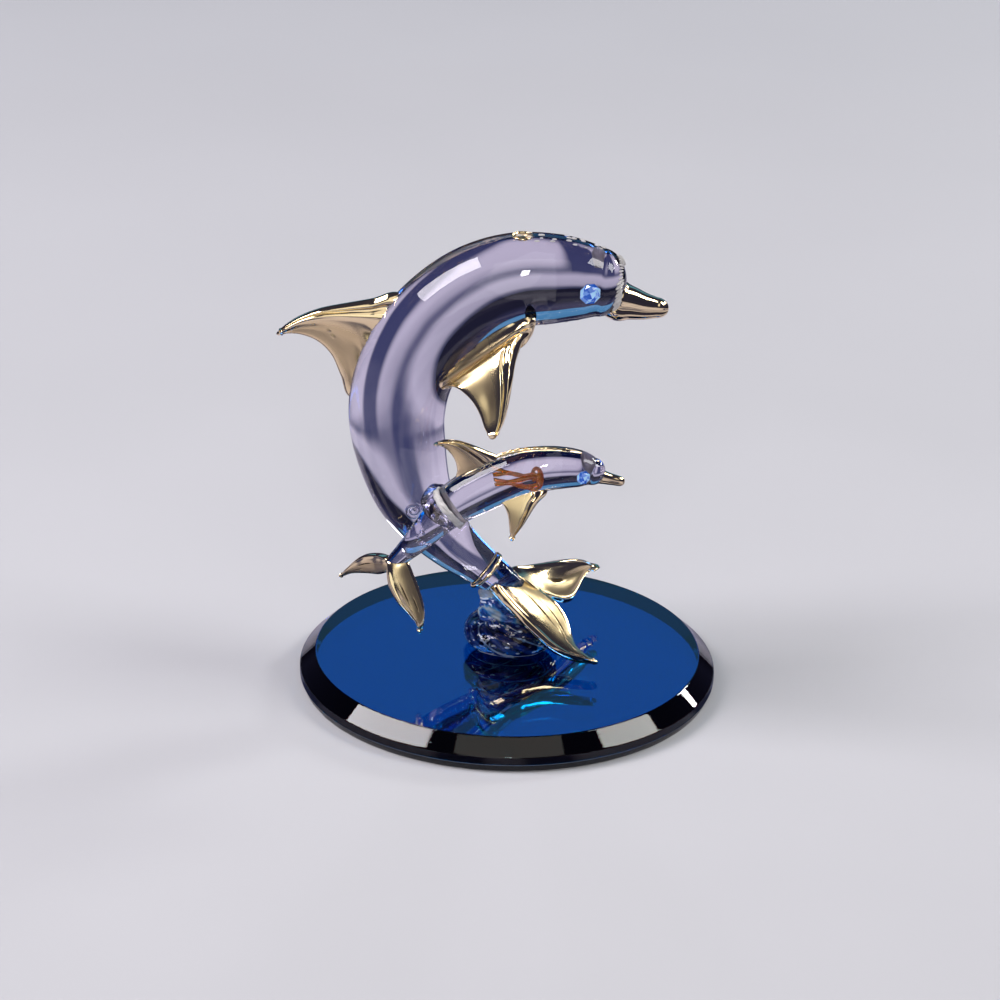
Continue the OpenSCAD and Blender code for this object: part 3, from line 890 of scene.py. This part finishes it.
fluke_near_lead = [
    (-2.2, 1, 14.4), (-4.2, -3, 14), (-1.6, -5.5, 11.4), (2.4, -8, 8.3), (6, -10.6, 6),
    (9.4, -13, 4.2), (13.4, -15, 3.1), (17.1, -16, 2.8), (18.5, -16.3, 2.7),
]
fluke_near_trail = [
    (5.7, 3, 12.6), (7.3, 0, 11.6), (9.8, -1.5, 10.2), (11.8, -3, 8.3), (13, -5, 6.6),
    (13.8, -8, 5), (14.7, -11.5, 4.3), (17.1, -14.8, 3.6), (18.7, -15.7, 3.3),
]
fluke_far_lead = [
    (-1.3, 0, 14.4), (-0.3, 3, 15.1), (2.6, 5, 15), (5.7, 7.5, 14.6), (9.2, 10.5, 13.9),
    (12.3, 13.5, 13), (15.3, 16.5, 11.6), (17.7, 18.4, 9.7), (19.2, 19.4, 8.7),
]
fluke_far_trail = [
    (6.8, -1, 11.2), (8.8, 1, 9.5), (10.9, 3, 7.7), (12.5, 5, 6.6), (13.9, 7.5, 6.2),
    (14.7, 10, 6.7), (15.5, 13.2, 7.7), (17, 17.2, 8.5), (18.6, 19, 8.2),
]
fluke_near = fuse_fin(
    "mother_fluke_near", fluke_near_lead, fluke_near_trail, (4, 1.3, -0.1), fluke_near_work, on_mother,
    [mother, neck], around=288, scores=((0.55, 0.36, 0.13), (0.72, 0.46, 0.13), (0.62, 0.66, 0.10)),
)
fuse_fin(
    "mother_fluke_far", fluke_far_lead, fluke_far_trail, (3.6, 1.3, -0.2), fluke_far_work, on_mother,
    [mother, neck, fluke_near], around=288, beads=((0.89, 0.35), (0.975, 0.5)),
    scores=((0.47, 0.40, 0.06), (0.50, 0.40, 0.07), (0.53, 0.40, 0.06)),
)

# ---- Mother's beak ----
# A tapered stub of glass, flared where it is fused to the face, with the mouth scored along each side.
# It is painted with the same gold lustre.


def beak_shape(s, a):
    """Share of the beak's radius at a turn: the top ridge stands up, and the mouth line cuts in."""
    mouth = -0.16 * (swell(cos(a), 1, 0.05) + swell(cos(a), -1, 0.05)) * min(1, s * 4)
    ridge = 0.1 * swell(sin(a), 1, 0.25) * min(1, (1 - s) * 4)
    return 1 + mouth + ridge


beak_line = [(18.5, 80.2, 3.4), (21.6, 79, 4.1), (24.1, 78.5, 3.4), (27, 77.9, 2.7), (29.7, 77.7, 2.1)]
beak = drawn_body("mother_beak", beak_line, mother_y, 1, 2.4, gold, sides=96, shape=beak_shape)
trim(beak, mother)
fit(beak, "gold_lustre", "mother_beak")

# ---- Ring round the mother's tail and her blowhole ----
# A hair-fine thread of lustred glass is laid round the tail stock where the flukes begin.
# The blowhole is a small sunken eyelet on top of the head, with a lustred rim.

band_at = Vector((-4.9, 0, 16.3))
band_lean = radians(42)
band_out = Matrix.Rotation(band_lean, 4, "Y") @ Vector((0, 0, 1))
band_spots = []
for a in turns(72):
    reach = 4.35 * (1 + 0.015 * sin(3 * a))
    band_spots.append(on_mother(*(band_at + reach * (cos(a) * crossways + sin(a) * band_out))))
band = lay_thread("mother_tail_band", band_spots, gold, 0.4, closed=True, count=9.0)
fit(band, "gold_lustre", "mother_tail_band")

eyelet_at = on_mother(1.2, 0, 93.3)
eyelet_outline = [
    (0, -1.9), (1.0, -1.8), (1.7, -1.1), (2.2, -0.5), (2.4, -0.1), (2.25, 0.1), (2.0, 0.05),
    (1.7, -0.35), (1.4, -0.8), (0.7, -1.2), (0, -1.25),
]
eyelet = turned("mother_blowhole_ring", [Vector(p) * MM for p in soften(eyelet_outline, 0.08)], gold, around=64)
bowl_r, bowl_low = 1.9 * MM, -1.3 * MM
keep(eyelet.data, "web", [
    1.0 if p.co.xy.length < bowl_r and p.co.z > bowl_low else 0.0 for p in eyelet.data.vertices
])
eyelet.data.transform(Matrix.Translation(eyelet_at))
fit(eyelet, "gold_lustre", "mother_blowhole_ring")

# ---- Rhinestone eyes ----
# Blue glass chatons, cut with eight main facets round a flat table, foiled behind, and glued in.
# The mother's are 4.6 mm and the calf's 3 mm.

# The foil's facets are tinted light or dark at random as painted reflections, and the foil glows faintly with a
# painted glow that brightens the stone
rhinestone = Finish("blue_rhinestone", Transmission_Weight=1.0, IOR=1.56, Emission_Strength=0.42)
foil = rhinestone.mark("foil")
foil_blue_and_glints = rhinestone.blend(rhinestone.mark("facet"), (0.01, 0.13, 0.55, 1), (0.70, 0.90, 1.0, 1))
rhinestone.vary("Base Color", rhinestone.blend(foil, (0.62, 0.82, 1.0, 1), foil_blue_and_glints))
rhinestone.vary("Metallic", foil)
rhinestone.vary("Emission Color", rhinestone.blend(foil, (0, 0, 0, 1), foil_blue_and_glints))
rhinestone.vary("Roughness", 0.01 + foil * (0.45 + rhinestone.cloud(900, 1) * 0.1))

lacquer = Finish("foil_lacquer", Base_Color=(0.50, 0.47, 0.56, 1), Metallic=0.4)
lacquer.vary("Roughness", 0.35 + lacquer.cloud(1500, 2) * 0.3)


def set_stone(name, diameter, at, turn, mid_y, side):
    """Cut stone let into the head, its table turned outwards, with the lacquer that backs its foil."""
    half = diameter / 2
    table_r, crown_r, waist_r = 0.55 * half, 0.8 * half, 0.55 * half
    crown, girdle, depth = 0.22 * diameter, 0.05 * diameter, 0.36 * diameter
    spin = Matrix.Rotation(radians(turn), 4, "Z")
    head = stand_from(mid_y, side)

    def stand(x, y, height):
        return head(*(spin @ Vector((x, y, height)) + Vector(at)))

    def around(radius, y, shift=0.5):
        angles = [a + tau * shift / 8 for a in turns(8)]
        return [stand(radius * cos(a), y, radius * sin(a)) for a in angles]

    rings = [
        around(table_r, -crown), around(crown_r, -crown * 0.62, 0.0), around(half, -girdle), around(half, 0),
        around(waist_r, depth * 0.5),
    ]
    faces = [tuple(range(8))]
    for j in range(8):
        k = (j + 1) % 8
        faces += [
            (j, 8 + j, 8 + k), (j, 8 + k, k), (8 + j, 16 + j, 8 + k), (16 + j, 16 + k, 8 + k),
            (16 + j, 24 + j, 24 + k, 16 + k), (24 + j, 32 + j, 32 + k), (24 + j, 32 + k, 24 + k),
            (32 + j, 40, 32 + k),
        ]
    stone = cast(name, [p for ring in rings for p in ring] + [stand(0, depth, 0)], faces, rhinestone)
    stone.data.shade_flat()
    chance = random.Random(7)
    keep(stone.data, "foil", [1.0 if min(f) >= 24 else 0.0 for f in faces], "FACE")
    # Each facet's painted light or dark tint, standing in for what it reflects
    keep(stone.data, "facet", [chance.choice((0.0, 0.35, 1.0)) for _ in faces], "FACE")
    fit(stone, "blue_rhinestone", name)
    backing = close_skin(f"{name}_lacquer", [
        around(waist_r + 0.02, depth * 0.5 + 0.03), around(half + 0.02, 0.03),
        around(half + 0.05, 0.05), around(waist_r + 0.05, depth * 0.5 + 0.09),
    ], stand(0, depth + 0.03, 0), stand(0, depth + 0.1, 0), lacquer)
    fit(backing, "blue_rhinestone")


for name, side in (("mother_eye_near", 1), ("mother_eye_far", -1)):
    set_stone(name, 4.6, (15.4, -7.6, 83.6), 14, mother_y, side)

# ---- Calf's body ----
# Two lengths of clear glass, drawn thinner than the mother's, butted and fused at the waist.
# A thread of hot glass is wound round the joint as a collar, and left rough.

calf_low, calf_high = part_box("calf_body")
calf_y = (calf_low.y + calf_high.y) / 2
on_calf = stand_from(calf_y)
calf_line = [
    (-12.8, 36.8, 4.4), (-9.5, 39.3, 4.8), (-4.6, 42.2, 5), (1, 44.9, 5), (6, 46.1, 4.8),
    (10.8, 46.5, 4.4), (14.6, 46.3, 3.8), (17, 45.8, 2.9),
]
calf_tail_line = [
    (-24.7, 23.6, 1.6), (-22, 26.4, 2.2), (-18.6, 30.1, 3), (-15.5, 34, 3.8), (-12.85, 36.75, 4.3),
]
flat_end = 0.02
calf_front = drawn_body("calf_body", calf_line, calf_y, flat_end, 2.6, crystal)
calf_tail = drawn_body("calf_tail_stock", calf_tail_line, calf_y, 1.2, flat_end, crystal)
fit(calf_front, "clear_crystal", "calf_body")
fit(calf_tail, "clear_crystal", "calf_tail_stock")

collar_at = Vector((-12.8, 0, 36.8))
collar_lean = radians(37)
collar_way = Vector((cos(collar_lean), 0, sin(collar_lean)))
collar_up = Vector((-collar_way.z, 0, collar_way.x))
collar_spots = []
for j in range(240):
    a = tau * j / 80
    along = (j / 239 - 0.5) * 1.1 + 0.2 * sin(2 * a + 1)
    reach = 4.4 + 0.1 * sin(5 * a) + 0.1 * sin(3.3 * a)
    spot = collar_at + along * collar_way + reach * (cos(a) * crossways + sin(a) * collar_up)
    collar_spots.append(on_calf(*spot))
collar = lay_thread("calf_collar", collar_spots, rough_crystal, 0.42, count=41.0)
fit(collar, "clear_crystal", "calf_collar")

# ---- Weld between mother and calf ----
# A gather of clear glass, pushed in hot between the two flanks to join the calf to the mother.
# It cooled with a curl of glass beside it, on the mother's flank.

weld_line = [(-17, -5, 35.6, 3.5), (-15.3, -8, 36, 3.2), (-14.8, -10, 35.9, 3.1)]
weld_rings = []
for i, (x, y, h, r) in enumerate(drawn(weld_line, 8)):
    ring = []
    for a in turns(48):
        curl = r * (1 + 0.05 * sin(3 * a + i * 0.5))
        ring.append(on_mother(x + curl * cos(a), y + 0.3 * curl * cos(a), h + curl * sin(a)))
    weld_rings.append(ring)
weld_ends = [on_mother(*weld_line[end][:3]) for end in (0, -1)]
weld = close_skin("weld_bead", weld_rings, *weld_ends, crystal)
trim(weld, mother, calf_front, calf_tail)
fit(weld, "clear_crystal", "weld_bead")

curl_turns = 2.2
flank_x, flank_r = -20.3, 8.15
curl_spots = []
for j in range(90):
    a = tau * curl_turns * j / 89
    reach = 0.25 + 1.7 * j / 89
    x, h = -20.6 + reach * cos(a), 33.6 + reach * sin(a)
    bulge = sqrt(max(0.0, flank_r ** 2 - ((x - flank_x) * 0.9) ** 2))
    curl_spots.append(on_mother(x, -bulge - 0.02, h))
fit(lay_thread("weld_curl", curl_spots, crystal, 0.26, count=5.0), "clear_crystal")

# Small bubbles and lumps inside the calf's tail half, near the weld
chance = random.Random(14)
fine_tail = drawn(calf_tail_line, 10)
bubble_seats = []
for _ in range(18):
    x, h, r = fine_tail[int(chance.uniform(0.45, 0.97) * (len(fine_tail) - 1))]
    a, reach = chance.uniform(0, tau), r * chance.uniform(0.2, 0.75)
    spot = on_calf(x - 0.75 * reach * sin(a), reach * cos(a), h + 0.65 * reach * sin(a))
    bubble_seats.append((spot, Vector((0.7, 0, 0.7)), Vector((-0.7, 0, 0.7))))
bubbles = set_lumps("calf_tail_bubbles", bubble_seats, crystal, (0.42, 0.3, 0.3), 14)
fit(bubbles, "clear_crystal")

# ---- Calf's fins, beak and eyes ----
# Made like the mother's, at half the size. A fine lustred line runs forward from the back fin, a painted
# reflection standing in for the warm glint along the top of the back.
# The eyes are smaller stones of the same cut.

calf_root = Vector((-24.7, 0, 23.6))
fine = {"steps": 14, "around": 160}


def small_fluke_work(s, u):
    roll = 0.22 * swell(u, 0.1, 0.08)
    return roll * min(1, s * 5) * min(1, (1.05 - s) * 6)


def small_fin_work(s, u):
    roll = 0.25 * swell(u, 0.1, 0.07)
    crease = -0.25 * swell(u, 0.25, 0.04)
    return (roll + crease) * min(1, s * 4)


fluke_back_lead = [
    (1, -1.2, 0.8), (-1, 1, 1.2), (-3, 4, 0.4), (-5.5, 6.5, -1), (-7.6, 8, -2.8),
    (-9.4, 9.6, -5.2), (-10.9, 10.8, -7.5), (-11.3, 11.1, -8.2),
]
fluke_back_trail = [
    (0.2, -0.2, -1.8), (-1.4, 1, -2.8), (-3, 3.6, -4.4), (-5, 6, -5.4), (-7, 8, -6.3),
    (-9, 9.6, -7.2), (-10.6, 10.6, -8.3), (-11.1, 11, -8.6),
]
fluke_down_lead = [
    (-1, 0.5, 0.4), (-1.2, -1, -1.4), (-0.9, -2, -3.8), (0.2, -2.8, -6.2), (1.6, -3.4, -8.2),
    (3.4, -4, -10), (5.2, -4.5, -12), (5.7, -4.5, -13.6),
]
fluke_down_trail = [
    (1, 0, 0.6), (3.2, -1, 0.8), (4.6, -1.8, -1.8), (5.8, -2.6, -4.8), (6.6, -3.2, -7.2),
    (7, -3.8, -9.6), (6.9, -4.4, -12), (6.4, -4.5, -13.7),
]
calf_dorsal_lead = [
    (0.2, 0, 46.5), (-3.2, 0, 49), (-5.8, 0, 50.2), (-8.7, 0, 51.4), (-11.6, 0, 52.2),
    (-14.1, 0, 52.2), (-15.7, 0, 51.5),
]
calf_dorsal_trail = [
    (-7.5, 0, 41), (-11.3, 0, 43.4), (-11.4, 0, 45.5), (-11.9, 0, 47.6), (-13.1, 0, 49.5),
    (-14.5, 0, 50.6), (-15.8, 0, 50.9),
]
calf_pectoral_lead = [
    (5.5, -1, 44.2), (7.6, -3, 42.3), (5.6, -3.8, 39.9), (4, -4.4, 37.4), (2.6, -4.8, 35),
    (1.2, -5, 33.1), (0.8, -5, 32.3),
]
calf_pectoral_trail = [
    (-4.2, -1, 43), (-3, -3, 40.3), (-1.5, -3.8, 39.2), (-0.6, -4.4, 37.3), (-0.3, -4.8, 35.4),
    (-0.1, -5, 33.5), (0, -5, 32.3),
]
for name, lead, trail in (
    ("calf_fluke_back", fluke_back_lead, fluke_back_trail),
    ("calf_fluke_down", fluke_down_lead, fluke_down_trail),
):
    fuse_fin(
        name, lead, trail, (2.6, 1, 0.1), small_fluke_work, stand_from(calf_y, root=calf_root), [calf_tail],
        scores=((0.45, 0.45, 0.1), (0.68, 0.6, 0.08)), **fine
    )
fuse_fin(
    "calf_dorsal_fin", calf_dorsal_lead, calf_dorsal_trail, (2.4, 1, 0), small_fin_work, on_calf,
    [calf_front], **fine
)
for name, side in (("calf_pectoral_near", 1), ("calf_pectoral_far", -1)):
    fuse_fin(
        name, calf_pectoral_lead, calf_pectoral_trail, (2, 1, 0.12), small_fin_work, stand_from(calf_y, side),
        [calf_front], **fine
    )

# Curls of amber, where lustre ran into the glass at the root of the side fins
amber = Finish("amber_lustre", Transmission_Weight=0.9, IOR=1.5)
amber_swirl = amber.cloud(900, 3)
amber.vary("Base Color", amber.blend(amber_swirl, (0.70, 0.13, 0.008, 1), (1.0, 0.50, 0.06, 1)))
amber.vary("Roughness", 0.05 + amber_swirl * 0.1)
for number in range(5):
    amber_spots = []
    for step in range(90):
        share = step / 89
        if share < 0.45:
            x = -3.2 + 18 * share
            h = 42.2 + 0.28 * number + 2.4 * share + 0.3 * sin(share * 9 + number * 2)
        else:
            turn = radians(-90) + (share - 0.45) * (10 - number)
            reach = (1.5 - 0.25 * number) * (1.1 - 0.5 * share)
            x, h = 5.2 + reach * cos(turn), 44.6 + reach * sin(turn)
        amber_spots.append(on_calf(x, 1.0 + 0.4 * number, h))
    fit(lay_thread(f"calf_amber_curl_{number}", amber_spots, amber, 0.22, count=3.0), "gold_lustre")

calf_beak_line = [(16.6, 45.2, 2), (18.6, 44.6, 1.5), (20.6, 44.1, 1.2), (22.5, 43.7, 1.05)]
calf_beak = drawn_body("calf_beak", calf_beak_line, calf_y, 0.6, 1.3, gold, sides=64, shape=beak_shape)
trim(calf_beak, calf_front)
fit(calf_beak, "gold_lustre", "calf_beak")

# The lustred line along the back, from the back fin to the forehead: a painted reflection of warm light along
# the top edge of the glass
glint_line_spots = [on_calf(x - 0.35 * r, 0, h + 0.93 * r + 0.05) for x, h, r in drawn(calf_line, 10)[18:58]]
fit(lay_thread("calf_back_line", glint_line_spots, gold, 0.48, count=11.0), "gold_lustre")

calf_nose = Vector((2.4, 0, -0.5)).normalized()
calf_seats = ring_seats(on_calf(17, 0, 45.8), 2.1, 1.6, calf_nose, 26, 0.5)
fit(set_lumps("calf_melt_ridges", calf_seats, crystal, (0.55, 0.16, 0.13), 9), "clear_crystal")

for name, side in (("calf_eye_near", 1), ("calf_eye_far", -1)):
    set_stone(name, 3, (15, -3.55, 45.9), 20, calf_y, side)

# ---- Studio ----
# A plain pale table under broad soft lights: a key light on the left, others above, on the right,
# in front and behind, and two small ones for streaks and glints. The room is dark, so that the glass
# keeps its dark bands.

pale_table = Finish("pale_table", Roughness=0.85)
pale_table.vary("Base Color", pale_table.blend(
    pale_table.cloud(9, 2), (0.47, 0.475, 0.49, 1), (0.51, 0.515, 0.53, 1)
))
table = disc("table", 6, -0.02, 0, 0.005, pale_table, around=96)

# What the glass and the gold see in place of the table: a dark blue cloth with pale cards laid on it,
# all round alike, so that they keep their lavender patches and dark bands from every side
card_cloth = Finish("card_cloth", Roughness=0.9)
reach = card_cloth.node("ShaderNodeVectorMath", {"operation": "LENGTH"}, {0: card_cloth.place}, "Value")
spot_x, spot_y = (card_cloth.axis(card_cloth.place, letter) for letter in "XY")
spokes = card_cloth.math("COSINE", card_cloth.math("ARCTAN2", spot_y, spot_x) * 4)


def soft_step(value, low, high):
    ends = {"Value": value, "From Min": low, "From Max": high}
    return card_cloth.node("ShaderNodeMapRange", {"interpolation_type": "SMOOTHSTEP"}, ends)


uneven = reach + card_cloth.cloud(14, 2) * 0.03
far_card = soft_step(uneven, 0.18, 0.23) * (1 - soft_step(uneven, 0.31, 0.40))
near_card = soft_step(uneven, 0.05, 0.08) * (1 - soft_step(uneven, 0.14, 0.20))
near_card = near_card * (soft_step(spokes, 0.86, 0.98) + 1 - soft_step(spokes, -0.1, 0.25))
card_cloth.vary("Base Color", card_cloth.blend(
    far_card + near_card, (0.018, 0.022, 0.085, 1), (0.44, 0.41, 0.49, 1)
))
cloth_r, cloth_low, cloth_high = 0.4, -0.01, 0.02 * MM
cloth_outline = [(0, cloth_low), (cloth_r, cloth_low), (cloth_r, cloth_high), (0, cloth_high)]
cloth = turned("cloth", cloth_outline, card_cloth)
for seen_by in ("visible_camera", "visible_diffuse", "visible_shadow"):
    setattr(cloth, seen_by, False)
for hidden_from in ("visible_glossy", "visible_transmission"):
    setattr(table, hidden_from, False)

room = bpy.data.worlds.new("room")
bpy.context.scene.world = room
room.use_nodes = True
walls = Board(room.node_tree)
looked = walls.node("ShaderNodeTexCoord", output="Generated")
walls.feed(room.node_tree.nodes["Background"].inputs["Color"], walls.ramp(walls.axis(looked, "Z"), [
    (0.0, (0.010, 0.010, 0.022)), (0.10, (0.03, 0.03, 0.07)), (0.6, (0.02, 0.02, 0.05)),
    (1.0, (0.03, 0.03, 0.06)),
]))

aim = Vector((-2.29, 0, 41.77)) * MM


def soft_light(name, place, wide, high, watts, tint):
    lamp = bpy.data.lights.new(name, "AREA")
    lamp.shape = "RECTANGLE"
    lamp.size, lamp.size_y = wide, high
    lamp.energy = watts
    lamp.color = tint
    holder = bpy.data.objects.new(name, lamp)
    holder.location = place
    holder.rotation_euler = (aim - Vector(place)).to_track_quat("-Z", "Y").to_euler()
    bpy.context.scene.collection.objects.link(holder)


white = (1.0, 1.0, 1.0)
soft_light("key_light", (-0.89, -0.04, 1.02), 0.72, 0.70, 18, (1.0, 0.95, 1.0))
soft_light("top_light", (0.05, -0.75, 1.12), 1.00, 0.80, 2.1, (1.0, 0.93, 0.86))
soft_light("right_light", (0.92, -0.02, 1.00), 0.50, 0.60, 8, (1.0, 0.99, 0.97))
soft_light("back_light", (0.0, 1.35, 0.62), 1.9, 0.50, 1.26, (0.15, 0.58, 1.0))
soft_light("front_light", (-0.20, -1.25, 0.50), 0.75, 0.90, 2.0, (1.0, 0.98, 0.95))
soft_light("streak_light", (0.02, -1.10, 0.92), 0.10, 0.30, 2.4, white)
soft_light("glint_light", (0.91, 0.74, 0.56), 0.22, 0.22, 5.0, white)

# ---- Camera ----
# A long lens a metre away, aimed at the middle of the figurine. It looks down a little and is held
# a touch off level.

camera_rise = radians(24.34)
camera_roll = radians(1.28)
camera_far = 1.0
back_way = Vector((0, -cos(camera_rise), sin(camera_rise)))
right_way = Vector((1, 0, 0))
up_way = back_way.cross(right_way)
right_rolled = right_way * cos(camera_roll) + up_way * sin(camera_roll)
up_rolled = up_way * cos(camera_roll) - right_way * sin(camera_roll)
lens = bpy.data.cameras.new("camera")
lens.lens = 170.0
lens.sensor_width = 36.0
lens.clip_start = 0.01
lens.clip_end = 50
camera = bpy.data.objects.new("camera", lens)
turn = Matrix((right_rolled, up_rolled, back_way)).transposed().to_4x4()
camera.matrix_world = Matrix.Translation(aim + back_way * camera_far) @ turn
bpy.context.scene.collection.objects.link(camera)
bpy.context.scene.camera = camera
bpy.context.scene.view_settings.view_transform = "Standard"
